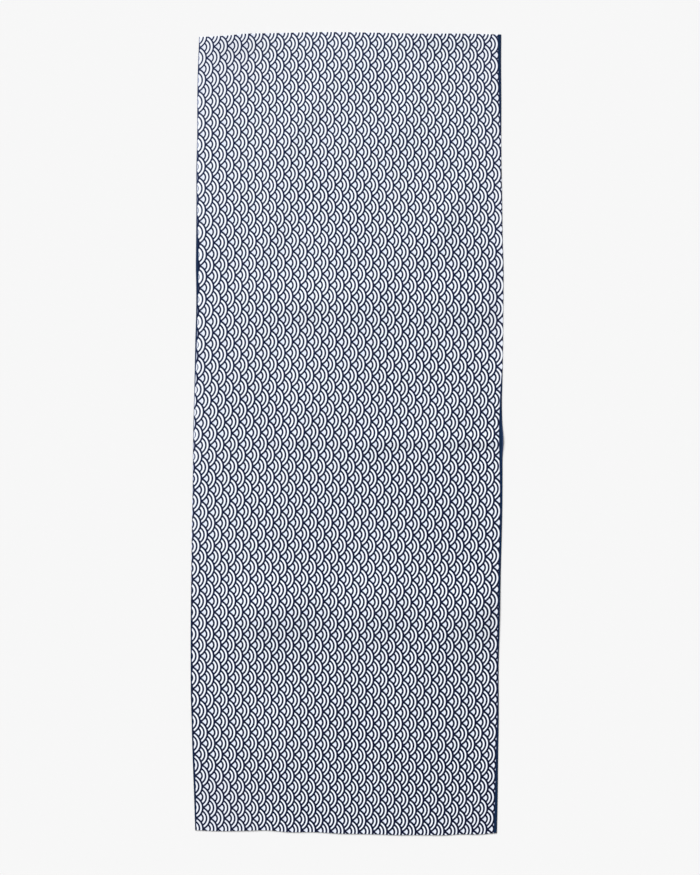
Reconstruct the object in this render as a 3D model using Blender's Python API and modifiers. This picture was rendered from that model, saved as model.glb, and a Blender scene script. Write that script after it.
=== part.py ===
"""Tenugui: one cut length of plain-woven printed cotton, spread out face up on a flat surface.

Metres. +X runs across the cloth, +Y along it and +Z up out of its printed face. The origin is the
middle of the cloth's outline, on the surface that it lies on.
"""

from collections import namedtuple

import bmesh
import bpy
import numpy as np

# Driving dimensions
LENGTH = 0.9045  # between the furthest points of the two cut ends
THICKNESS = 0.001  # the cloth itself with the slight stand of its weave and creases
COLUMNS = 32  # divisions of the solid across the cloth
ROWS = 82  # divisions of the solid along the cloth

# The two woven side edges, at stations counted up from the lower end
Side = namedtuple("Side", "up left right")
SIDES = (
    Side(up=0.000, left=-0.1710, right=0.1672),
    Side(up=0.040, left=-0.1722, right=0.1683),
    Side(up=0.105, left=-0.1744, right=0.1688),
    Side(up=0.175, left=-0.1753, right=0.1697),
    Side(up=0.230, left=-0.1755, right=0.1710),
    Side(up=0.290, left=-0.1753, right=0.1724),
    Side(up=0.375, left=-0.1744, right=0.1742),
    Side(up=0.455, left=-0.1732, right=0.1744),
    Side(up=0.510, left=-0.1720, right=0.1747),
    Side(up=0.620, left=-0.1708, right=0.1757),
    Side(up=0.715, left=-0.1699, right=0.1745),
    Side(up=0.800, left=-0.1688, right=0.1733),
    Side(up=0.865, left=-0.1674, right=0.1728),
    Side(up=0.9045, left=-0.1659, right=0.1733),
)

# The two cut ends, as how far each draws back from the furthest point of that end
End = namedtuple("End", "across lower upper")
ENDS = (
    End(across=-0.170, lower=0.0075, upper=0.0045),
    End(across=-0.103, lower=0.0056, upper=0.0022),
    End(across=-0.045, lower=0.0040, upper=0.0003),
    End(across=0.000, lower=0.0018, upper=0.0000),
    End(across=0.050, lower=0.0005, upper=0.0000),
    End(across=0.105, lower=0.0000, upper=0.0008),
    End(across=0.145, lower=0.0006, upper=0.0017),
    End(across=0.175, lower=0.0036, upper=0.0024),
)

# Folds and creases that stand up from the surface, each a soft ridge: x and y of its middle, the
# turn of its crest from +X in degrees, half the length and half the width of its foot, its height
Crease = namedtuple("Crease", "x y turn half_length half_width height")
CREASES = (
    # the lower fold, right across the cloth
    Crease(x=-0.088, y=-0.203, turn=-3, half_length=0.078, half_width=0.036, height=0.0026),
    Crease(x=0.030, y=-0.188, turn=4, half_length=0.090, half_width=0.050, height=0.0019),
    Crease(x=0.142, y=-0.204, turn=2, half_length=0.070, half_width=0.036, height=0.0027),
    # the upper fold, softer and broken in the middle
    Crease(x=-0.044, y=0.138, turn=5, half_length=0.060, half_width=0.028, height=0.0016),
    Crease(x=0.095, y=0.141, turn=-4, half_length=0.062, half_width=0.028, height=0.0013),
    Crease(x=0.172, y=0.138, turn=0, half_length=0.040, half_width=0.028, height=0.0018),
    # the upper end, curled up a little at two places
    Crease(x=-0.125, y=0.452, turn=0, half_length=0.080, half_width=0.034, height=0.0018),
    Crease(x=0.098, y=0.454, turn=0, half_length=0.085, half_width=0.034, height=0.0020),
    # lengthways ripples in the middle
    Crease(x=-0.054, y=0.015, turn=87, half_length=0.085, half_width=0.022, height=0.0013),
    Crease(x=0.030, y=-0.010, turn=12, half_length=0.040, half_width=0.026, height=0.0014),
    Crease(x=0.121, y=0.035, turn=96, half_length=0.060, half_width=0.022, height=0.0012),
    # slanted ripples in the upper half
    Crease(x=-0.048, y=0.358, turn=58, half_length=0.075, half_width=0.024, height=0.0014),
    Crease(x=0.068, y=0.365, turn=74, half_length=0.060, half_width=0.024, height=0.0012),
    Crease(x=0.112, y=0.245, turn=62, half_length=0.085, half_width=0.025, height=0.0014),
    Crease(x=-0.092, y=0.220, turn=70, half_length=0.070, half_width=0.024, height=0.0011),
    # lengthways ripples below the lower fold
    Crease(x=0.070, y=-0.292, turn=84, half_length=0.062, half_width=0.023, height=0.0011),
    Crease(x=-0.075, y=-0.345, turn=97, half_length=0.060, half_width=0.023, height=0.0010),
)

# A short stretch of the right side edge that stands up and bows out
LIFT_Y = -0.006
LIFT_HALF_LENGTH = 0.024
LIFT_HALF_WIDTH = 0.022
LIFT_HEIGHT = 0.0032
LIFT_BOW = 0.0018

# Printed navy on white: the colour that the two make together
COTTON_COLOUR = (0.30, 0.33, 0.40, 1.0)
COTTON_ROUGHNESS = 0.9


def smooth(at, stations, values):
    """A smooth curve through the values at the stations, read at other places along them."""
    stations, values = np.array(stations), np.array(values)
    slopes = np.gradient(values, stations)
    at = np.clip(at, stations[0], stations[-1])
    left = np.clip(np.searchsorted(stations, at) - 1, 0, len(stations) - 2)
    span = stations[left + 1] - stations[left]
    t = (at - stations[left]) / span
    start = (1 + 2 * t) * (1 - t) ** 2 * values[left] + t * (1 - t) ** 2 * span * slopes[left]
    end = t * t * (3 - 2 * t) * values[left + 1] - t * t * (1 - t) * span * slopes[left + 1]
    return start + end


def swell(distance, half_width):
    """One at the middle of a ridge, falling softly to zero at its foot."""
    return np.cos(np.clip(distance / half_width, -1, 1) * np.pi / 2) ** 2


def outline(u, v):
    """Where the point at u across and v along the cut cloth, each from 0 to 1, lies on the surface."""
    sides = Side(*zip(*SIDES))
    ends = End(*zip(*ENDS))
    across = sides.left[0] + u * (sides.right[0] - sides.left[0])
    low = smooth(across, ends.across, ends.lower)
    high = LENGTH - smooth(across, ends.across, ends.upper)
    up = low + v * (high - low)
    y = up - LENGTH / 2
    left = smooth(up, sides.up, sides.left)
    right = smooth(up, sides.up, sides.right) + LIFT_BOW * swell(y - LIFT_Y, LIFT_HALF_LENGTH)
    return left + u * (right - left), y, right


def rise(x, y, right_edge):
    """How far the underside stands above the surface: zero wherever the cloth touches it."""
    height = np.zeros_like(x)
    for crease in CREASES:
        turn = np.radians(crease.turn)
        along = (x - crease.x) * np.cos(turn) + (y - crease.y) * np.sin(turn)
        across = (y - crease.y) * np.cos(turn) - (x - crease.x) * np.sin(turn)
        height += crease.height * swell(along, crease.half_length) * swell(across, crease.half_width)
    lift = swell(y - LIFT_Y, LIFT_HALF_LENGTH) * swell(x - right_edge, LIFT_HALF_WIDTH)
    return height + LIFT_HEIGHT * lift


def cotton():
    material = bpy.data.materials.new("dyed_cotton")
    material.use_nodes = True
    shader = material.node_tree.nodes["Principled BSDF"]
    shader.inputs["Base Color"].default_value = COTTON_COLOUR
    shader.inputs["Roughness"].default_value = COTTON_ROUGHNESS
    shader.inputs["Metallic"].default_value = 0.0
    material.diffuse_color = COTTON_COLOUR
    return material


def towel(collection):
    """The cloth as one sheet: a flat grid drawn to the outline, raised along its creases and thickened."""
    grid = bmesh.new()
    bmesh.ops.create_grid(grid, x_segments=COLUMNS, y_segments=ROWS, size=0.5)
    flat = np.array([vertex.co for vertex in grid.verts])
    x, y, right_edge = outline(flat[:, 0] + 0.5, flat[:, 1] + 0.5)
    z = rise(x, y, right_edge)
    x -= (x.min() + x.max()) / 2
    for vertex, place in zip(grid.verts, zip(x, y, z)):
        vertex.co = place
    mesh = bpy.data.meshes.new("towel")
    grid.to_mesh(mesh)
    grid.free()
    mesh.shade_smooth()
    mesh.materials.append(cotton())
    sheet = bpy.data.objects.new("towel", mesh)
    collection.objects.link(sheet)
    thicken = sheet.modifiers.new("Thickness", "SOLIDIFY")
    thicken.thickness = THICKNESS
    thicken.offset = 1.0
    return sheet


def main():
    for old in list(bpy.data.objects):
        bpy.data.objects.remove(old, do_unlink=True)
    collection = bpy.data.collections.new("tenugui_towel")
    bpy.context.scene.collection.children.link(collection)
    towel(collection)


main()
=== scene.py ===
"""The looks of the tenugui: a length of printed cotton laid flat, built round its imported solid.

Metres. +X runs across the cloth, +Y along it to its upper end and +Z up out of its printed face.
"""

import math
from collections import namedtuple

import bmesh
import bpy
import numpy as np
from mathutils import Matrix, noise


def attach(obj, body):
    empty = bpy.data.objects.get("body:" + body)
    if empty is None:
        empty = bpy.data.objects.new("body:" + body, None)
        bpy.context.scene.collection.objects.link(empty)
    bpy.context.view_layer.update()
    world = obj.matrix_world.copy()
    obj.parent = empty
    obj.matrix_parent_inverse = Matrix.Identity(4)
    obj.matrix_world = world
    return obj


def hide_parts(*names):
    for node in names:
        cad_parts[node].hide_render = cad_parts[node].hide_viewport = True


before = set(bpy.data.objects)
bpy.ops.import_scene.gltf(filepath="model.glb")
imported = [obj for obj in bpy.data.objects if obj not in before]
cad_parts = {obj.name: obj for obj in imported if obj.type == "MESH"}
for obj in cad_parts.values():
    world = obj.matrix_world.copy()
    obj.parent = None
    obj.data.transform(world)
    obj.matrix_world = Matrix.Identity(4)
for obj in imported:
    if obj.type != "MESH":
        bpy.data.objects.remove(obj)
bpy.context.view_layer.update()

MM = 0.001

# The cloth as cut, and its thickness
LENGTH = 0.9045
FLAT_WIDTH = 0.345
FLAT_LENGTH = 0.900
CLOTH = 0.4 * MM

# The grid of the cloth: its columns and rows draw together beside the edges
INNER_COLUMNS = 104
INNER_ROWS = 290
CLOSE_STEPS = (0.5 * MM, 1.1 * MM, 1.9 * MM)

# The two woven side edges, at stations counted up from the lower end
Side = namedtuple("Side", "up left right")
SIDES = (
    Side(up=0.000, left=-0.1710, right=0.1672),
    Side(up=0.040, left=-0.1722, right=0.1683),
    Side(up=0.105, left=-0.1744, right=0.1688),
    Side(up=0.175, left=-0.1753, right=0.1697),
    Side(up=0.230, left=-0.1755, right=0.1710),
    Side(up=0.290, left=-0.1753, right=0.1724),
    Side(up=0.375, left=-0.1744, right=0.1742),
    Side(up=0.455, left=-0.1732, right=0.1744),
    Side(up=0.510, left=-0.1720, right=0.1747),
    Side(up=0.620, left=-0.1708, right=0.1757),
    Side(up=0.715, left=-0.1699, right=0.1745),
    Side(up=0.800, left=-0.1688, right=0.1733),
    Side(up=0.865, left=-0.1674, right=0.1728),
    Side(up=0.9045, left=-0.1659, right=0.1733),
)

# How far each side edge strays out from that line, in millimetres, at stations up the cloth
Stray = namedtuple("Stray", "up left right")
STRAYS = (
    Stray(up=0.000, left=0.1, right=0.7),
    Stray(up=0.045, left=0.2, right=0.5),
    Stray(up=0.100, left=0.3, right=0.8),
    Stray(up=0.130, left=0.5, right=1.0),
    Stray(up=0.155, left=1.0, right=0.7),
    Stray(up=0.185, left=1.0, right=0.0),
    Stray(up=0.235, left=0.9, right=-0.1),
    Stray(up=0.290, left=0.5, right=-0.2),
    Stray(up=0.340, left=0.3, right=-0.1),
    Stray(up=0.400, left=0.0, right=0.0),
    Stray(up=0.462, left=0.3, right=-0.3),
    Stray(up=0.488, left=0.2, right=-0.9),
    Stray(up=0.515, left=0.1, right=-0.5),
    Stray(up=0.560, left=-0.2, right=-0.3),
    Stray(up=0.590, left=-0.8, right=-0.6),
    Stray(up=0.615, left=-0.7, right=-0.4),
    Stray(up=0.640, left=0.0, right=-0.1),
    Stray(up=0.665, left=0.0, right=-0.6),
    Stray(up=0.720, left=0.1, right=-0.6),
    Stray(up=0.748, left=0.5, right=-0.7),
    Stray(up=0.790, left=0.1, right=-0.5),
    Stray(up=0.830, left=0.7, right=0.0),
    Stray(up=0.905, left=0.7, right=-0.4),
)

# The two cut ends, as how far each draws back from the furthest point of that end
End = namedtuple("End", "across lower upper")
ENDS = (
    End(across=-0.170, lower=0.0073, upper=0.0050),
    End(across=-0.145, lower=0.0062, upper=0.0039),
    End(across=-0.118, lower=0.0065, upper=0.0015),
    End(across=-0.090, lower=0.0070, upper=0.0008),
    End(across=-0.065, lower=0.0049, upper=0.0001),
    End(across=-0.038, lower=0.0050, upper=-0.0005),
    End(across=-0.010, lower=0.0034, upper=-0.0004),
    End(across=0.030, lower=0.0026, upper=0.0003),
    End(across=0.057, lower=0.0017, upper=0.0010),
    End(across=0.084, lower=0.0018, upper=0.0015),
    End(across=0.111, lower=0.0016, upper=0.0013),
    End(across=0.125, lower=0.0025, upper=0.0014),
    End(across=0.145, lower=0.0023, upper=0.0017),
    End(across=0.175, lower=0.0050, upper=0.0024),
)

# Folds and creases that stand up from the surface, each a soft ridge: x and y of its middle, the
# turn of its crest from +X in degrees, half the length and half the width of its foot, its height
Crease = namedtuple("Crease", "x y turn half_length half_width height")
CREASES = (
    # the lower fold, right across the cloth
    Crease(x=-0.088, y=-0.198, turn=-3, half_length=0.078, half_width=0.036, height=0.0013),
    Crease(x=0.030, y=-0.190, turn=4, half_length=0.090, half_width=0.050, height=0.0010),
    Crease(x=0.142, y=-0.198, turn=2, half_length=0.070, half_width=0.036, height=0.0013),
    # the upper fold, softer and broken in the middle
    Crease(x=-0.044, y=0.145, turn=5, half_length=0.060, half_width=0.028, height=0.0013),
    Crease(x=0.095, y=0.147, turn=-4, half_length=0.062, half_width=0.028, height=0.0011),
    Crease(x=0.160, y=0.140, turn=0, half_length=0.040, half_width=0.028, height=0.0012),
    # the upper end, curled up a little at two places
    Crease(x=-0.125, y=0.452, turn=0, half_length=0.080, half_width=0.034, height=0.0018),
    Crease(x=0.098, y=0.454, turn=0, half_length=0.085, half_width=0.034, height=0.0020),
    # lengthways ripples in the middle
    Crease(x=-0.054, y=0.015, turn=87, half_length=0.085, half_width=0.022, height=0.0013),
    Crease(x=0.030, y=-0.010, turn=12, half_length=0.040, half_width=0.026, height=0.0014),
    Crease(x=0.121, y=0.035, turn=96, half_length=0.060, half_width=0.022, height=0.0012),
    # slanted ripples in the upper half
    Crease(x=-0.048, y=0.358, turn=58, half_length=0.075, half_width=0.024, height=0.0014),
    Crease(x=0.068, y=0.365, turn=74, half_length=0.060, half_width=0.024, height=0.0012),
    Crease(x=0.112, y=0.245, turn=62, half_length=0.085, half_width=0.025, height=0.0014),
    Crease(x=-0.092, y=0.220, turn=70, half_length=0.070, half_width=0.024, height=0.0011),
    # lengthways ripples below the lower fold
    Crease(x=0.070, y=-0.292, turn=84, half_length=0.062, half_width=0.023, height=0.0011),
    Crease(x=-0.075, y=-0.345, turn=97, half_length=0.060, half_width=0.023, height=0.0010),
)

# A short stretch of the right side edge that stands up and bows out
LIFT_Y = -0.006
LIFT_HALF_LENGTH = 0.024
LIFT_HALF_WIDTH = 0.022
LIFT_HEIGHT = 0.0007
LIFT_BOW = 0.0010

# The folds die down towards the side edges: from how far in, and how much of their height is lost
SETTLE_WIDTH = 0.020
SETTLE_SHARE = 0.75

# Creases with two unlike sides: the half width of the side above the crest and of the one below
FineCrease = namedtuple("FineCrease", "x y turn half_length above below height")
FINE_CREASES = (
    # where the cloth was folded in half, out to the lifted edge, sharp and steeper below its crest
    FineCrease(x=0.150, y=-0.0075, turn=-1, half_length=0.070, above=0.014, below=0.0085, height=0.0019),
    FineCrease(x=0.062, y=-0.0080, turn=1, half_length=0.075, above=0.013, below=0.0085, height=0.0013),
    FineCrease(x=-0.070, y=-0.0060, turn=-2, half_length=0.075, above=0.012, below=0.0090, height=0.0009),
    # the lower fold falls away longer below its crest
    FineCrease(x=-0.088, y=-0.195, turn=-2, half_length=0.080, above=0.056, below=0.070, height=0.0031),
    FineCrease(x=0.020, y=-0.197, turn=2, half_length=0.075, above=0.056, below=0.068, height=0.0022),
    FineCrease(x=0.134, y=-0.196, turn=-2, half_length=0.070, above=0.056, below=0.074, height=0.0034),
    # and so does the upper fold
    FineCrease(x=-0.085, y=0.156, turn=3, half_length=0.070, above=0.034, below=0.052, height=0.0013),
    FineCrease(x=0.015, y=0.156, turn=2, half_length=0.070, above=0.034, below=0.056, height=0.0014),
    FineCrease(x=0.125, y=0.156, turn=-3, half_length=0.065, above=0.036, below=0.056, height=0.0013),
)

# Low crinkles between the folds
CRINKLE_HEIGHT = 0.45 * MM
CRINKLE_SIZE = 0.045
CRINKLE_SLANT = math.radians(62)
CRINKLE_STRETCH = 2.6

# The side edges are a little thicker, where the weft turns back
SELVEDGE_WIDTH = 1.6 * MM
SELVEDGE_RISE = 0.10 * MM

# The wave-scale print: one repeat, and one scale in it
REPEAT_ACROSS = 16.37 * MM
REPEAT_ALONG = 24.92 * MM
SCALE_CENTRE = 1.74 * MM  # from the meeting point of its neighbours to the middle of its rings
RING_MIDDLES = (5.58 * MM, 9.64 * MM)
OUTLINE_MIDDLE = 13.62 * MM
CORNER = 0.30 * MM  # the radius of the white's corners

# The lines of dye: how wide the outlines are, and the rings against them, and how much finer all
# are at the upper end and at the left, a painted brightening that stands in for light falling off
# from the upper left
LINE = 2.27 * MM
RING_SHARE = 0.94
FINER_ABOVE = 0.174
FINER_LEFT = 0.055
LINE_WANDER = 0.12  # how much their width comes and goes
RAGGEDNESS = 0.30 * MM  # how far their sides step in and out, thread by thread
SOFT_SIDE = 0.16 * MM  # how far dye and white blend to each side of the line between them
BLEED_DEPTH = 0.10 * MM  # from how far inside a line the dye tints the white beside it
BLEED_WIDTH = 0.46 * MM  # and how far out of it
BLEED_SHARE = 0.82

# The white heart of a scale is tinted a little too, the more the nearer to the middle of its rings
HEART_RADIUS = 4.6 * MM
HEART_MIDDLE = 2.6 * MM
HEART_SHARE = 0.22

# In the upper part the innermost ring is printed finer beside the left strip: the shares of the
# length between which that comes in, the millimetres of ground over which it ends, and how much
FINE_HEART_UP = (0.44, 0.49)
FINE_HEART_REACH = (0.8, 4.4)
FINE_HEART_SHARE = 0.8

# Where the print lies on the cloth, at stations up the cloth, all in repeats: the column at the
# middle of the width, the row there, and how the rows slope and bow
Drift = namedtuple("Drift", "up column row slope bow")
DRIFT = (
    Drift(up=0.016, column=24.038, row=37.090, slope=-0.150, bow=0.130),
    Drift(up=0.050, column=24.011, row=35.692, slope=-0.145, bow=0.084),
    Drift(up=0.080, column=23.980, row=34.460, slope=-0.140, bow=0.050),
    Drift(up=0.215, column=23.980, row=28.970, slope=-0.110, bow=0.040),
    Drift(up=0.350, column=23.940, row=23.600, slope=-0.090, bow=-0.030),
    Drift(up=0.420, column=23.916, row=20.840, slope=-0.100, bow=-0.040),
    Drift(up=0.455, column=23.894, row=19.480, slope=-0.100, bow=-0.100),
    Drift(up=0.477, column=23.854, row=18.619, slope=-0.104, bow=-0.119),
    Drift(up=0.520, column=23.827, row=16.930, slope=-0.110, bow=-0.130),
    Drift(up=0.585, column=23.803, row=14.377, slope=-0.078, bow=-0.111),
    Drift(up=0.620, column=23.820, row=13.010, slope=-0.060, bow=-0.100),
    Drift(up=0.755, column=23.930, row=7.620, slope=-0.040, bow=-0.120),
    Drift(up=0.890, column=24.050, row=2.100, slope=-0.020, bow=-0.180),
)

# The columns between which the ground is printed: outside them the cloth is all navy
Ground = namedtuple("Ground", "up start stop")
GROUND = (
    Ground(up=0.016, start=13.470, stop=34.440),
    Ground(up=0.070, start=13.470, stop=34.435),
    Ground(up=0.120, start=13.443, stop=34.450),
    Ground(up=0.170, start=13.410, stop=34.450),
    Ground(up=0.240, start=13.425, stop=34.420),
    Ground(up=0.300, start=13.350, stop=34.390),
    Ground(up=0.360, start=13.325, stop=34.368),
    Ground(up=0.390, start=13.350, stop=34.330),
    Ground(up=0.420, start=13.340, stop=34.283),
    Ground(up=0.455, start=13.325, stop=34.240),
    Ground(up=0.489, start=13.275, stop=34.260),
    Ground(up=0.520, start=13.310, stop=34.328),
    Ground(up=0.560, start=13.345, stop=34.600),
    Ground(up=0.610, start=13.375, stop=34.700),
    Ground(up=0.650, start=13.395, stop=34.680),
    Ground(up=0.700, start=13.372, stop=34.660),
    Ground(up=0.750, start=13.360, stop=34.595),
    Ground(up=0.800, start=13.400, stop=34.463),
    Ground(up=0.840, start=13.388, stop=34.425),
    Ground(up=0.890, start=13.425, stop=34.395),
)
HALF_REPEATS = 10.586  # repeats between the middle and a side edge
EDGE_CLOSING = 0.0067  # how much closer the repeats lie beside the edges
ROW_TWIST = 0.13  # how far the rows bend near the side edges, one way left and the other right
ROW_DROOP = 0.030  # and the same way on both, at the very edges

# Places where the weave is pulled out of line: how far they reach, and by how many repeats
Pull = namedtuple("Pull", "x y reach columns rows")
PULLS = (
    Pull(x=-0.150, y=-0.420, reach=0.105, columns=-0.085, rows=-0.045),
    Pull(x=-0.150, y=0.190, reach=0.070, columns=-0.062, rows=0.0),
    Pull(x=-0.166, y=0.435, reach=0.070, columns=-0.025, rows=0.055),
    Pull(x=0.168, y=0.033, reach=0.050, columns=0.030, rows=0.0),
    Pull(x=0.160, y=-0.045, reach=0.050, columns=-0.015, rows=0.015),
    Pull(x=0.148, y=-0.190, reach=0.040, columns=0.022, rows=-0.022),
    Pull(x=-0.064, y=0.265, reach=0.050, columns=0.060, rows=0.0),
    Pull(x=0.142, y=-0.300, reach=0.070, columns=-0.070, rows=0.010),
    Pull(x=0.056, y=-0.386, reach=0.045, columns=0.040, rows=0.0),
    Pull(x=-0.058, y=-0.020, reach=0.040, columns=0.030, rows=-0.010),
    Pull(x=-0.126, y=-0.120, reach=0.055, columns=0.030, rows=0.010),
    Pull(x=0.155, y=-0.440, reach=0.080, columns=0.0, rows=-0.028),
    Pull(x=-0.168, y=-0.447, reach=0.050, columns=0.0, rows=-0.020),
    Pull(x=0.177, y=-0.205, reach=0.045, columns=-0.030, rows=0.0),
    Pull(x=0.176, y=-0.260, reach=0.045, columns=-0.025, rows=0.0),
    Pull(x=0.174, y=-0.315, reach=0.045, columns=-0.020, rows=0.0),
)

# Threads: how far apart they lie and how thick they are
THREAD_PITCH = 0.46 * MM
THREAD_RADIUS = 0.10 * MM
THREAD_SIDES = 4
SEED = 7  # of everything drawn at random

# The lines that threads are set out on: how many points they have, and how far from the corners of
# the cloth they begin, as a share of the edge
END_POINTS = 400
END_CLEAR = 0.002
SIDE_POINTS = 900
SIDE_CLEAR = 0.001

# The warp's ends at the cut ends of the cloth: a bend of unit length from inside the cloth outwards,
# the lengths it is stretched to, and how far it fans out and stands down or up
END_BEND = ((0.0, -0.6, 0.0), (0.0, 0.35, 0.0), (0.22 * MM, 1.0, 0.0))
END_STEPS = 4
END_LENGTHS = (0.15 * MM, 0.95 * MM)
END_FAN = math.radians(22)
END_STAND = (math.radians(-8), math.radians(6))

# The weft's turns at the side edges: a loop of unit reach, the reaches it is stretched to and its
# widths against the pitch, and how far it leans and fans out
TURN_LOOP = ((-1.0, -THREAD_PITCH, 0.0), (2.4, 0.0, 0.0), (-1.0, THREAD_PITCH, 0.0))
TURN_STEPS = 5
TURN_REACHES = (0.16 * MM, 0.30 * MM)
TURN_WIDTHS = (0.85, 1.05)
TURN_LEAN = math.radians(10)
TURN_FAN = math.radians(6)

# Unevenness made by noise: how many bumps to a millimetre (to a metre on the floor), in what detail
Grain = namedtuple("Grain", "bumps detail")
WANDER_GRAIN = Grain(bumps=0.012, detail=3.0)
RAGGED_GRAIN = Grain(bumps=2.1, detail=1.0)
YARN_GRAIN = Grain(bumps=1.9, detail=1.0)
MOTTLE_GRAIN = Grain(bumps=0.35, detail=3.0)
SWAY_GRAIN = Grain(bumps=0.05, detail=2.0)
FUZZ_GRAIN = Grain(bumps=5.0, detail=3.0)
FLOOR_GRAIN = Grain(bumps=9.0, detail=3.0)
RAGGED_STRETCH = 0.35  # how much closer the noise is along the threads, which draws it out
YARN_STRETCH = 0.06

# The dye: how far into the all navy strips it turns to their own, and how much it thins in the lines
# by its mottling and by the yarns
STRIP_BLEND = 0.8 * MM
STRIP_SHARE = 0.9
MOTTLE_SPAN = (0.40, 0.85)
MOTTLE_SHARE = 0.18
YARN_THINNING = 0.20

# The white greys a little by the yarns, from one sum of their noises to another
YARN_SPAN = (0.6, 1.6)
YARN_SHARE = 0.10

# Wear, in millimetres in from an edge: at the left edge, growing between two shares of the length;
# a painted highlight on the lifted stretch, in millimetres along from its middle too; and a blue-grey
# tint on the white of both rims
LEFT_WEAR = (0.4, 2.6)
LEFT_WEAR_UP = (0.30, 0.60)
LEFT_WEAR_SHARE = 0.3
LIFT_HIGHLIGHT = (0.3, 1.8)
LIFT_HIGHLIGHT_ALONG = (30.0, 10.0)
LIFT_HIGHLIGHT_SHARE = 0.75
RIM_TINT_WIDTH = 1.1
RIM_TINT_SHARE = 0.5

# The bump of the threads, of the yarns' unevenness and of the fuzz, against each other, and in all
THREAD_ROUNDNESS = 0.6
CROSSING = 0.5
SWAY = 3.0  # how far the threads wander, in threads
YARN_RELIEF = 0.35
FUZZ_RELIEF = 0.6
TWIST = 14.0  # of a loose thread, in radians to a millimetre
RELIEF_STRENGTH = 0.55
RELIEF_DEPTH = 0.07 * MM

# How the cotton takes the light
ROUGHNESS = 0.93
YARN_GLOSS = 0.06
SHEEN = 0.01
SHEEN_ROUGHNESS = 0.45
SPECULAR = 0.06

# Colours
COTTON_WHITE = (0.880, 0.905, 0.925, 1.0)
YARN_GREY = (0.400, 0.430, 0.480, 1.0)
DYE_BLEED = (0.260, 0.355, 0.740, 1.0)
RIM_BLUE_GREY = (0.520, 0.560, 0.780, 1.0)
FLOOR_PALE = (0.820, 0.820, 0.820, 1.0)
FLOOR_GREY = (0.780, 0.780, 0.780, 1.0)

# The dye on each face of the cloth: in its lines, where they are thin, in the all navy strips at the
# side edges, and where it is worn off a rim, which also serves as the painted highlight on the lifted rim
Dye = namedtuple("Dye", "line thin strip worn")
FACE_DYE = Dye(
    line=(0.0025, 0.0035, 0.0168, 1.0),
    thin=(0.0270, 0.0440, 0.1260, 1.0),
    strip=(0.0050, 0.0190, 0.0560, 1.0),
    worn=(0.050, 0.082, 0.180, 1.0),
)
BACK_DYE = Dye(
    line=(0.130, 0.170, 0.270, 1.0),
    thin=(0.180, 0.225, 0.340, 1.0),
    strip=(0.100, 0.150, 0.250, 1.0),
    worn=(0.200, 0.250, 0.360, 1.0),
)

# The camera, straight above, shows the cloth at the size at which the photograph does: the height of
# the picture and of one pixel of it, and the place under the middle of the picture
PIXELS_HIGH = 875
PIXEL = 1.125 * MM
CAMERA_HEIGHT = 3.2
AIM = (2.85 * MM, -3.25 * MM)
SENSOR = 36.0

# Studio light: an even pale surround, and a soft light that comes low from the upper left
SURROUND = 0.45
LIGHT_HEIGHT = math.radians(31)
LIGHT_FROM = math.radians(118)
LIGHT_SPREAD = math.radians(34)
LIGHT_STRENGTH = 4.18

# The floor: a gap below the cloth keeps the two from touching
FLOOR_SIZE = 30.0
FLOOR_GAP = 0.13 * MM
FLOOR_MOTTLE = 0.02
FLOOR_ROUGHNESS = 0.95
FLOOR_SPECULAR = 0.1


def smooth(at, stations, values):
    """A smooth curve through the values at the stations, read at other places along them."""
    stations, values = np.array(stations), np.array(values)
    slopes = np.gradient(values, stations)
    left = np.clip(np.searchsorted(stations, at) - 1, 0, len(stations) - 2)
    span = stations[left + 1] - stations[left]
    t = np.clip((at - stations[left]) / span, 0, 1)
    beyond = at - np.clip(at, stations[0], stations[-1])
    start = (1 + 2 * t) * (1 - t) ** 2 * values[left] + t * (1 - t) ** 2 * span * slopes[left]
    end = t * t * (3 - 2 * t) * values[left + 1] - t * t * (1 - t) * span * slopes[left + 1]
    return start + end + beyond * np.where(beyond > 0, slopes[-1], slopes[0])


def swell(distance, half_width):
    """One at the middle of a ridge, falling softly to zero at its foot."""
    return np.cos(np.clip(distance / half_width, -1, 1) * np.pi / 2) ** 2


def side_edges(y, bow=LIFT_BOW):
    """Where the left and the right edge of the cloth lie at y."""
    sides = Side(*zip(*SIDES))
    up = np.clip(y + LENGTH / 2, 0, LENGTH)
    left = smooth(up, sides.up, sides.left)
    right = smooth(up, sides.up, sides.right) + bow * swell(y - LIFT_Y, LIFT_HALF_LENGTH)
    return left, right


def outline(u, v):
    """Where the point at u across and v along the cut cloth, each from 0 to 1, lies on the surface."""
    ends = End(*zip(*ENDS))
    across = SIDES[0].left + u * (SIDES[0].right - SIDES[0].left)
    inside = np.clip(across, ends.across[0], ends.across[-1])
    low = smooth(inside, ends.across, ends.lower)
    high = LENGTH - smooth(inside, ends.across, ends.upper)
    y = low + v * (high - low) - LENGTH / 2
    left, right = side_edges(y)
    strays = Stray(*zip(*STRAYS))
    left = left - smooth(y + LENGTH / 2, strays.up, strays.left) * MM
    right = right + smooth(y + LENGTH / 2, strays.up, strays.right) * MM
    return left + u * (right - left), y


def crinkles(x, y):
    """Low slanting unevenness, which leaves the cloth touching in the hollows between."""
    along = x * math.cos(CRINKLE_SLANT) + y * math.sin(CRINKLE_SLANT)
    across = y * math.cos(CRINKLE_SLANT) - x * math.sin(CRINKLE_SLANT)
    places = zip(along / (CRINKLE_SIZE * CRINKLE_STRETCH), across / CRINKLE_SIZE)
    return CRINKLE_HEIGHT * np.array([max(0.0, noise.noise((a, b, SEED))) for a, b in places])


def beside(x, y, crease):
    """How far a place lies along the crest of a crease, and to its upper side."""
    turn = math.radians(crease.turn)
    along = (x - crease.x) * math.cos(turn) + (y - crease.y) * math.sin(turn)
    return along, (y - crease.y) * math.cos(turn) - (x - crease.x) * math.sin(turn)


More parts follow.
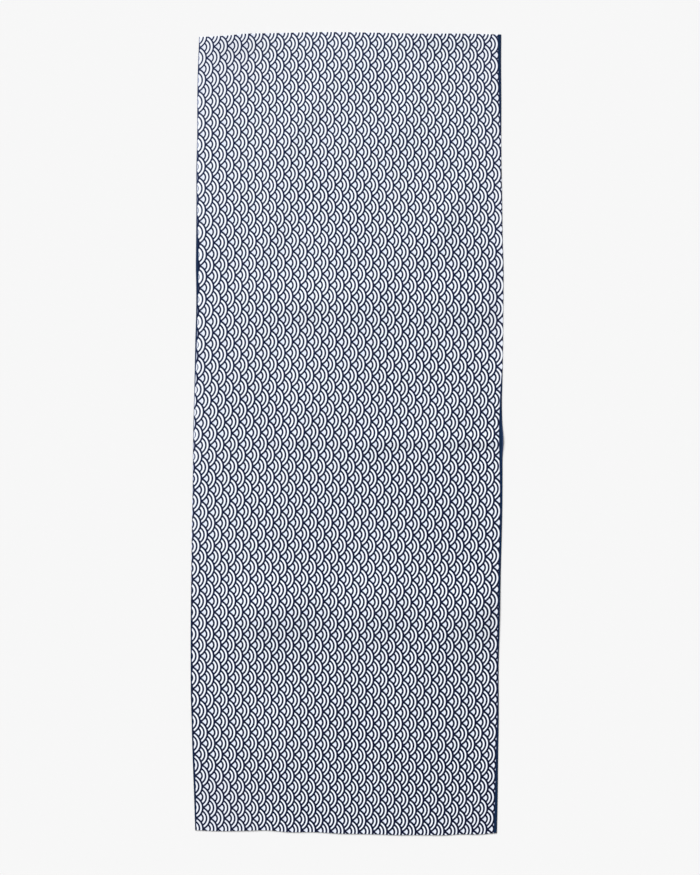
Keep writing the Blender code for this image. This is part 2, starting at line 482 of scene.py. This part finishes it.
def rise(x, y):
    """How far the underside stands above the surface: zero wherever the cloth touches it."""
    height = crinkles(x, y)
    for crease in CREASES:
        along, across = beside(x, y, crease)
        height += crease.height * swell(along, crease.half_length) * swell(across, crease.half_width)
    for crease in FINE_CREASES:
        along, across = beside(x, y, crease)
        half_width = np.where(across > 0, crease.above, crease.below)
        height += crease.height * swell(along, crease.half_length) * swell(across, half_width)
    left_edge, right_edge = side_edges(y)
    settle = swell(x - left_edge, SETTLE_WIDTH) + swell(x - right_edge, SETTLE_WIDTH)
    lift = swell(y - LIFT_Y, LIFT_HALF_LENGTH) * swell(x - right_edge, LIFT_HALF_WIDTH)
    return height * (1 - SETTLE_SHARE * settle) + LIFT_HEIGHT * lift


def print_place(x, y):
    """The repeat across and the row along of the print at a place on the cloth."""
    drift = Drift(*zip(*DRIFT))
    left, right = side_edges(y, bow=0.0)
    t = 2 * (x - left) / (right - left) - 1
    up = y + LENGTH / 2
    column, row, slope, bow = (
        smooth(up, drift.up, values) for values in (drift.column, drift.row, drift.slope, drift.bow)
    )
    across = column + HALF_REPEATS * ((1 - EDGE_CLOSING) * t + EDGE_CLOSING * t**3)
    along = row + slope * t + bow * t**2 + ROW_TWIST * t**3 + ROW_DROOP * t**6
    for pull in PULLS:
        share = swell(np.hypot(x - pull.x, y - pull.y), pull.reach)
        across += pull.columns * share
        along += pull.rows * share
    return across, along


def ground_place(x, y):
    """Millimetres into the printed ground from its left and from its right side."""
    ground = Ground(*zip(*GROUND))
    across = print_place(x, y)[0]
    start, stop = (smooth(y + LENGTH / 2, ground.up, values) for values in (ground.start, ground.stop))
    return (across - start) * REPEAT_ACROSS / MM, (stop - across) * REPEAT_ACROSS / MM


def weave_place(x, y):
    """Millimetres across and along the cloth from its lower left corner, for the threads."""
    left, right = side_edges(y)
    across = (x - left) / (right - left) * FLAT_WIDTH
    return across / MM, (y + LENGTH / 2) / LENGTH * FLAT_LENGTH / MM


def lay_maps(mesh):
    """Gives a mesh its UV maps, in repeats of the print and in millimetres of cloth and of ground."""
    points = np.empty(len(mesh.vertices) * 3)
    mesh.vertices.foreach_get("co", points)
    x, y = points.reshape(-1, 3)[:, 0], points.reshape(-1, 3)[:, 1]
    corners = np.empty(len(mesh.loops), int)
    mesh.loops.foreach_get("vertex_index", corners)
    for name, place in (("print", print_place), ("weave", weave_place), ("ground", ground_place)):
        layer = mesh.uv_layers.new(name=name)
        layer.uv.foreach_set("vector", np.stack(place(x, y), 1)[corners].ravel())


class Tree:
    """A node tree, with the one method that adds any node to it."""

    def __init__(self, tree):
        self.tree = tree

    def add(self, kind, settings=(), inputs=()):
        """Adds a node: its settings are set first, then its sockets take their values or links."""
        node = self.tree.nodes.new(kind)
        for name, value in dict(settings).items():
            setattr(node, name, value)
        named = {socket.identifier: socket for socket in node.inputs}
        for name, value in dict(inputs).items():
            socket = named.get(name) or node.inputs[name]
            if isinstance(value, Number):
                value = value.socket
            if isinstance(value, bpy.types.NodeSocket):
                self.tree.links.new(value, socket)
            else:
                socket.default_value = value
        return node

    def maths(self, operation, *values):
        node = self.add("ShaderNodeMath", {"operation": operation}, enumerate(values))
        return Number(self, node.outputs[0])


class Number:
    """A socket that takes part in Python sums: each operation on it adds its Math node."""

    def __init__(self, tree, socket):
        self.tree = tree
        self.socket = socket

    def maths(self, operation, *others):
        return self.tree.maths(operation, self, *others)

    def __add__(self, other):
        return self.maths("ADD", other)

    def __radd__(self, other):
        return self.maths("ADD", other)

    def __sub__(self, other):
        return self.maths("SUBTRACT", other)

    def __rsub__(self, other):
        return self.tree.maths("SUBTRACT", other, self)

    def __mul__(self, other):
        return self.maths("MULTIPLY", other)

    def __rmul__(self, other):
        return self.maths("MULTIPLY", other)

    def __truediv__(self, other):
        return self.maths("DIVIDE", other)

    def __pow__(self, other):
        return self.maths("POWER", other)

    def __abs__(self):
        return self.maths("ABSOLUTE")

    def __lt__(self, other):
        return self.maths("LESS_THAN", other)

    def floor(self):
        return self.maths("FLOOR")

    def sine(self):
        return self.maths("SINE")

    def least(self, other):
        return self.maths("MINIMUM", other)

    def most(self, other):
        return self.maths("MAXIMUM", other)

    def within(self, low, high):
        """Nought at low, one at high, and straight between them."""
        settings = {"clamp": True, "interpolation_type": "LINEAR"}
        inputs = {"Value": self, "From Min": low, "From Max": high}
        return Number(self.tree, self.tree.add("ShaderNodeMapRange", settings, inputs).outputs["Result"])


class Finish(Tree):
    """One material, made of nodes."""

    def __init__(self, name):
        self.material = bpy.data.materials.new(name)
        self.material.use_nodes = True
        super().__init__(self.material.node_tree)
        self.tree.nodes.clear()

    def map_places(self, name):
        """The two coordinates of one of the cloth's UV maps."""
        place = self.add("ShaderNodeUVMap", {"uv_map": name})
        split = self.add("ShaderNodeSeparateXYZ", inputs={"Vector": place.outputs["UV"]})
        return Number(self, split.outputs["X"]), Number(self, split.outputs["Y"])

    def point(self, x, y):
        return self.add("ShaderNodeCombineXYZ", inputs={"X": x, "Y": y}).outputs["Vector"]

    def noise(self, place, grain):
        """Noise from 0 to 1, with as many bumps to one unit of place as the grain says."""
        inputs = {"Vector": place, "Scale": grain.bumps, "Detail": grain.detail}
        return Number(self, self.add("ShaderNodeTexNoise", inputs=inputs).outputs["Fac"])

    def mix(self, share, first, second):
        """The first colour, or as much of the second as the share says."""
        inputs = {"Factor_Float": share, "A_Color": first, "B_Color": second}
        node = self.add("ShaderNodeMix", {"data_type": "RGBA"}, inputs)
        return next(s for s in node.outputs if s.identifier == "Result_Color")

    def shine(self, inputs):
        """Ends the material in a Principled shader with these sockets."""
        shader = self.add("ShaderNodeBsdfPrincipled", inputs=inputs)
        self.add("ShaderNodeOutputMaterial", inputs={"Surface": shader.outputs["BSDF"]})
        return self.material


def scale_print(finish, across, along, line, heart_line):
    """How far inside the white a place of the wave-scale print lies, and how far from the middle of
    its scale, in metres. Each scale hides what the scales to its right would show inside its outline.
    The innermost ring has a width of its own."""
    x = across * REPEAT_ACROSS - SCALE_CENTRE
    y = along * REPEAT_ALONG
    half = REPEAT_ACROSS / 2
    column = (x / half).floor()
    radii = []
    for neighbour in (-1, 0, 1):
        here = column + neighbour
        start = finish.maths("FLOORED_MODULO", here, 2.0) * -0.5 + 0.5
        dy = finish.maths("WRAP", y / REPEAT_ALONG - start, 0.5, -0.5) * REPEAT_ALONG
        dx = x - here * half
        radii.append((dx * dx + dy * dy) ** 0.5)
    first, second, third = radii
    in_first = first < OUTLINE_MIDDLE
    in_second = (second < OUTLINE_MIDDLE) * (1 - in_first)
    in_third = 1 - in_first - in_second
    radius = first * in_first + second * in_second + third * in_third
    own = OUTLINE_MIDDLE - radius - line / 2
    for middle, width in zip(RING_MIDDLES, (heart_line, line)):
        own = own.least(abs(radius - middle) - width * RING_SHARE / 2)
    # a scale that isn't in front of this one is put a repeat further off, so that it hides nothing
    past_first = first - OUTLINE_MIDDLE + in_first * REPEAT_ALONG
    past_second = second - OUTLINE_MIDDLE + (in_first + in_second) * REPEAT_ALONG
    cover = past_first.least(past_second) - line / 2
    from_ring = (CORNER - own).most(0.0)
    from_cover = (CORNER - cover).most(0.0)
    rounded = CORNER - (from_ring * from_ring + from_cover * from_cover) ** 0.5
    return rounded + (own.least(cover) - CORNER).most(0.0), radius


def weave_height(finish, warp, weft):
    """The stand of a plain weave, where warp and weft count its threads."""
    up, over = (warp * math.pi).sine(), (weft * math.pi).sine()
    crossing = up * over * CROSSING
    return (abs(up) ** THREAD_ROUNDNESS + crossing).most(abs(over) ** THREAD_ROUNDNESS - crossing)


def between(y, shares):
    """How far a place up the cloth has come from one share of its length to another, from 0 to 1."""
    low, high = shares
    return y.within(low * FLAT_LENGTH / MM, high * FLAT_LENGTH / MM)


def printed_colour(finish, dye, x, y, yarns):
    """The colour of the cloth: the print in this dye on white, with its unevenness, its wear, a rim tint,
    and painted light towards the upper left and on the lifted rim.
    """
    across, along = finish.map_places("print")
    from_left, from_right = finish.map_places("ground")
    place = finish.point(x, y)
    from_right_edge = FLAT_WIDTH / MM - x

    # painted light: lines finer and dye thinner towards the upper end and the left, a painted brightening
    # for light that falls off from the upper left
    painted_light_thinning = y * (FINER_ABOVE * MM / FLAT_LENGTH) - x * (FINER_LEFT * MM / FLAT_WIDTH) + FINER_LEFT
    wander = finish.noise(place, WANDER_GRAIN) - 0.5
    line = (1.0 - painted_light_thinning + wander * LINE_WANDER) * LINE
    fine_heart = (1 - from_left.within(*FINE_HEART_REACH)) * between(y, FINE_HEART_UP)
    heart_line = line * (1 - fine_heart * FINE_HEART_SHARE)
    white_depth, radius = scale_print(finish, across, along, line, heart_line)
    ragged = (finish.noise(finish.point(x * RAGGED_STRETCH, y), RAGGED_GRAIN) - 0.5) * RAGGEDNESS
    inside = from_left.least(from_right) * MM
    depth = (white_depth + ragged).least(inside)
    white = depth.within(-SOFT_SIDE, SOFT_SIDE)

    mottle = finish.noise(place, MOTTLE_GRAIN).within(*MOTTLE_SPAN) * MOTTLE_SHARE
    # the dye thinned by its mottling, by the yarns and by the painted brightening towards the upper left
    navy = finish.mix(mottle + painted_light_thinning + (yarns - 1.0) * YARN_THINNING, dye.line, dye.thin)
    navy = finish.mix(inside.within(0.0, -STRIP_BLEND) * STRIP_SHARE, navy, dye.strip)
    from_lift = abs(y - (LIFT_Y / LENGTH + 0.5) * FLAT_LENGTH / MM)
    left_worn = (1 - x.within(*LEFT_WEAR)) * between(y, LEFT_WEAR_UP)
    # painted highlight: the lifted stretch of the right rim painted paler, where the raised edge catches
    # the light and its paler back shows
    lift_highlight = (1 - from_right_edge.within(*LIFT_HIGHLIGHT)) * from_lift.within(*LIFT_HIGHLIGHT_ALONG)
    worn = (left_worn * LEFT_WEAR_SHARE).most(lift_highlight * LIFT_HIGHLIGHT_SHARE)
    navy = finish.mix(worn, navy, dye.worn)

    bleed = depth.within(BLEED_WIDTH, -BLEED_DEPTH) * BLEED_SHARE
    heart = radius.within(HEART_RADIUS, HEART_MIDDLE) * HEART_SHARE
    cloth = finish.mix(bleed.most(heart), COTTON_WHITE, DYE_BLEED)
    cloth = finish.mix(yarns.within(*YARN_SPAN) * YARN_SHARE, cloth, YARN_GREY)
    # the white turns blue-grey over the outermost millimetre of both side rims
    rim = 1 - x.least(from_right_edge).within(0.0, RIM_TINT_WIDTH)
    cloth = finish.mix(rim * RIM_TINT_SHARE, cloth, RIM_BLUE_GREY)
    return finish.mix(white, navy, cloth)


def cotton(name, dye, woven=True):
    """Cotton printed with the wave scales in the dye of this face, woven or as one loose thread."""
    finish = Finish(name)
    x, y = finish.map_places("weave")
    place = finish.point(x, y)
    warp_yarns = finish.noise(finish.point(x, y * YARN_STRETCH), YARN_GRAIN)
    weft_yarns = finish.noise(finish.point(x * YARN_STRETCH, y), YARN_GRAIN)
    yarns = warp_yarns + weft_yarns
    if woven:
        pitch = THREAD_PITCH / MM
        sway = finish.noise(place, SWAY_GRAIN) * SWAY
        height = weave_height(finish, x / pitch + sway, y / pitch + sway) + yarns * YARN_RELIEF
    else:
        height = ((x + y) * TWIST).sine()
    relief = height + finish.noise(place, FUZZ_GRAIN) * FUZZ_RELIEF
    bump = finish.add(
        "ShaderNodeBump",
        inputs={"Strength": RELIEF_STRENGTH, "Distance": RELIEF_DEPTH, "Height": relief},
    )
    return finish.shine(
        {
            "Base Color": printed_colour(finish, dye, x, y, yarns),
            "Roughness": ROUGHNESS - yarns * YARN_GLOSS,
            "Normal": bump.outputs["Normal"],
            "Sheen Weight": SHEEN,
            "Sheen Roughness": SHEEN_ROUGHNESS,
            "Specular IOR Level": SPECULAR,
        }
    )


def plain_floor():
    finish = Finish("pale_paper")
    coordinates = finish.add("ShaderNodeTexCoord")
    grain = finish.noise(coordinates.outputs["Object"], FLOOR_GRAIN)
    colour = finish.mix(grain * FLOOR_MOTTLE, FLOOR_PALE, FLOOR_GREY)
    return finish.shine(
        {"Base Color": colour, "Roughness": FLOOR_ROUGHNESS, "Specular IOR Level": FLOOR_SPECULAR}
    )


def grid_places(inner, length):
    """Places from 0 to 1 along a side of the cloth, evenly spaced but for close ones beside its ends."""
    close = np.array(CLOSE_STEPS) / length
    middle = np.linspace(close[-1], 1 - close[-1], inner + 1)
    return np.concatenate([[0], close[:-1], middle, 1 - close[-2::-1], [1]])


def cloth_sheet(face, back):
    """The cloth: a fine grid drawn to the outline, raised along its folds and given its thickness."""
    across, along = grid_places(INNER_COLUMNS, FLAT_WIDTH), grid_places(INNER_ROWS, FLAT_LENGTH)
    grid = bmesh.new()
    bmesh.ops.create_grid(grid, x_segments=len(across) - 1, y_segments=len(along) - 1, size=0.5)
    flat = np.array([vertex.co for vertex in grid.verts])
    u = across[np.rint((flat[:, 0] + 0.5) * (len(across) - 1)).astype(int)]
    v = along[np.rint((flat[:, 1] + 0.5) * (len(along) - 1)).astype(int)]
    x, y = outline(u, v)
    edge = np.minimum(u, 1 - u) * FLAT_WIDTH
    z = rise(x, y) + CLOTH + SELVEDGE_RISE * swell(edge - SELVEDGE_WIDTH / 2, SELVEDGE_WIDTH)
    for vertex, place in zip(grid.verts, zip(x, y, z)):
        vertex.co = place
    mesh = bpy.data.meshes.new("towel_cloth")
    grid.to_mesh(mesh)
    grid.free()
    mesh.shade_smooth()
    lay_maps(mesh)
    mesh.materials.append(face)
    mesh.materials.append(back)
    sheet = bpy.data.objects.new("towel_cloth", mesh)
    bpy.context.scene.collection.objects.link(sheet)
    thicken = sheet.modifiers.new("Thickness", "SOLIDIFY")
    thicken.thickness = CLOTH
    thicken.offset = -1.0
    thicken.material_offset = 1
    return sheet


def edge_line(name, u, v):
    """A line of points along an edge of the cloth, halfway up its thickness."""
    x, y = outline(u, v)
    z = rise(x, y) + CLOTH / 2
    mesh = bpy.data.meshes.new(name)
    mesh.from_pydata(np.stack([x, y, z], 1).tolist(), [(i, i + 1) for i in range(len(x) - 1)], [])
    line = bpy.data.objects.new(name, mesh)
    bpy.context.scene.collection.objects.link(line)
    return line


def thread_tree(name, shape, sizes):
    """A tree that sets threads along an edge, each of the given shape, turned and stretched at random.
    Its inputs are the spacing, the least and most stretch and turn, the seed, the thickness and the
    material."""
    group = bpy.data.node_groups.new(name, "GeometryNodeTree")
    group.interface.new_socket("Geometry", in_out="INPUT", socket_type="NodeSocketGeometry")
    kinds = {float: "NodeSocketFloat", int: "NodeSocketInt", tuple: "NodeSocketVector"}
    for label, value in sizes.items():
        kind = "NodeSocketMaterial" if value is None else kinds[type(value)]
        group.interface.new_socket(label, in_out="INPUT", socket_type=kind)
    group.interface.new_socket("Geometry", in_out="OUTPUT", socket_type="NodeSocketGeometry")
    tree = Tree(group)
    given = tree.add("NodeGroupInput").outputs
    line = tree.add("GeometryNodeMeshToCurve", inputs={"Mesh": given["Geometry"]})
    places = tree.add(
        "GeometryNodeResampleCurve", {"mode": "LENGTH"},
        {"Curve": line.outputs["Curve"], "Length": given["Spacing"]},
    )
    profile = tree.add(
        "GeometryNodeCurvePrimitiveCircle",
        inputs={"Resolution": THREAD_SIDES, "Radius": given["Thickness"]},
    )
    thread = tree.add(
        "GeometryNodeCurveToMesh",
        inputs={"Curve": shape(tree), "Profile Curve": profile.outputs["Curve"], "Fill Caps": True},
    )
    draws = {}
    for label, offset in (("Stretch", 0), ("Turn", 1)):
        seed = tree.maths("ADD", given["Seed"], float(offset))
        draws[label] = tree.add(
            "FunctionNodeRandomValue", {"data_type": "FLOAT_VECTOR"},
            {"Min": given["Least " + label], "Max": given["Most " + label], "Seed": seed},
        ).outputs["Value"]
    turned = tree.add("FunctionNodeEulerToRotation", inputs={"Euler": draws["Turn"]})
    set_out = tree.add(
        "GeometryNodeInstanceOnPoints",
        inputs={
            "Points": places.outputs["Curve"],
            "Instance": thread.outputs["Mesh"],
            "Rotation": turned.outputs["Rotation"],
            "Scale": draws["Stretch"],
        },
    )
    real = tree.add("GeometryNodeRealizeInstances", inputs={"Geometry": set_out.outputs["Instances"]})
    dressed = tree.add(
        "GeometryNodeSetMaterial",
        inputs={"Geometry": real.outputs["Geometry"], "Material": given["Material"]},
    )
    tree.add("NodeGroupOutput", inputs={"Geometry": dressed.outputs["Geometry"]})
    return group


def bend(tree, points, steps):
    """A curve from the first of three points to the last, drawn towards the middle one."""
    start, middle, end = points
    curve = tree.add(
        "GeometryNodeCurveQuadraticBezier",
        inputs={"Resolution": steps, "Start": start, "Middle": middle, "End": end},
    )
    return curve.outputs["Curve"]


def bent_end(tree):
    """A thread end of unit length along +Y that bends a little to one side."""
    return bend(tree, END_BEND, END_STEPS)


def turned_weft(tree):
    """Half a loop of unit reach along +X and of two thread pitches along Y."""
    return bend(tree, TURN_LOOP, TURN_STEPS)


def grow_threads(line, shape, material, sizes):
    """The plain mesh that a thread tree makes along an edge line, which is then removed."""
    sizes = {**sizes, "Thickness": THREAD_RADIUS, "Material": None}
    group = thread_tree(line.name, shape, sizes)
    modifier = line.modifiers.new("Threads", "NODES")
    modifier.node_group = group
    for item in group.interface.items_tree:
        if item.in_out == "INPUT" and item.name in sizes:
            modifier[item.identifier] = material if item.name == "Material" else sizes[item.name]
    graph = bpy.context.evaluated_depsgraph_get()
    mesh = bpy.data.meshes.new_from_object(line.evaluated_get(graph))
    bpy.data.objects.remove(line)
    return mesh


def joined(name, meshes):
    """One object that holds all these meshes, shaded smooth and with the cloth's maps."""
    whole = bmesh.new()
    for mesh in meshes:
        whole.from_mesh(mesh)
    result = bpy.data.meshes.new(name)
    whole.to_mesh(result)
    whole.free()
    result.materials.append(meshes[0].materials[0])
    result.shade_smooth()
    lay_maps(result)
    piece = bpy.data.objects.new(name, result)
    bpy.context.scene.collection.objects.link(piece)
    return piece


def warp_ends(material):
    """The ends of the warp that stand out of the two cut ends, short and uneven."""
    u = np.linspace(END_CLEAR, 1 - END_CLEAR, END_POINTS)
    meshes = []
    for name, v, turn in (("lower_end", 0.0, math.pi), ("upper_end", 1.0, 0.0)):
        sizes = {
            "Spacing": THREAD_PITCH,
            "Least Stretch": (1.0, END_LENGTHS[0], 1.0),
            "Most Stretch": (1.0, END_LENGTHS[1], 1.0),
            "Least Turn": (END_STAND[0], 0.0, turn - END_FAN),
            "Most Turn": (END_STAND[1], math.tau, turn + END_FAN),
            "Seed": SEED,
        }
        line = edge_line(name, u, np.full_like(u, v))
        meshes.append(grow_threads(line, bent_end, material, sizes))
    return joined("warp_ends", meshes)


def weft_turns(material):
    """The small loops in which the weft turns back along the two side edges."""
    v = np.linspace(SIDE_CLEAR, 1 - SIDE_CLEAR, SIDE_POINTS)
    meshes = []
    for name, u, turn in (("left_turns", 0.0, math.pi), ("right_turns", 1.0, 0.0)):
        sizes = {
            "Spacing": 2 * THREAD_PITCH,
            "Least Stretch": (TURN_REACHES[0], TURN_WIDTHS[0], 1.0),
            "Most Stretch": (TURN_REACHES[1], TURN_WIDTHS[1], 1.0),
            "Least Turn": (-TURN_LEAN, -TURN_LEAN, turn - TURN_FAN),
            "Most Turn": (TURN_LEAN, TURN_LEAN, turn + TURN_FAN),
            "Seed": SEED,
        }
        line = edge_line(name, np.full_like(v, u), v)
        meshes.append(grow_threads(line, turned_weft, material, sizes))
    return joined("weft_turns", meshes)


def camera():
    lens = bpy.data.cameras.new("camera")
    lens.sensor_width = SENSOR
    lens.lens = SENSOR * CAMERA_HEIGHT / (PIXELS_HIGH * PIXEL)
    eye = bpy.data.objects.new("camera", lens)
    eye.location = (*AIM, CAMERA_HEIGHT)
    bpy.context.scene.collection.objects.link(eye)
    bpy.context.scene.camera = eye


def studio():
    world = bpy.data.worlds.new("surround")
    world.use_nodes = True
    world.node_tree.nodes["Background"].inputs["Color"].default_value = (1.0, 1.0, 1.0, 1.0)
    world.node_tree.nodes["Background"].inputs["Strength"].default_value = SURROUND
    bpy.context.scene.world = world
    lamp = bpy.data.lights.new("soft_lamp", "SUN")
    lamp.angle = LIGHT_SPREAD
    lamp.energy = LIGHT_STRENGTH
    holder = bpy.data.objects.new("soft_lamp", lamp)
    holder.rotation_euler = (0.0, math.pi / 2 - LIGHT_HEIGHT, LIGHT_FROM)
    bpy.context.scene.collection.objects.link(holder)
    bpy.context.scene.view_settings.view_transform = "Standard"


def floor():
    bpy.ops.mesh.primitive_grid_add(x_subdivisions=2, y_subdivisions=2, size=FLOOR_SIZE)
    ground = bpy.context.object
    ground.name = "floor"
    ground.data.transform(Matrix.Translation((0, 0, -FLOOR_GAP)))
    ground.data.materials.append(plain_floor())


face = cotton("printed_cotton", FACE_DYE)
back = cotton("printed_cotton_back", BACK_DYE)
loose = cotton("cotton_thread", FACE_DYE, woven=False)
floor()
sheet = cloth_sheet(face, back)
ends = warp_ends(loose)
turns = weft_turns(loose)
for piece in (sheet, ends, turns):
    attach(piece, "root")
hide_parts("towel")
camera()
studio()
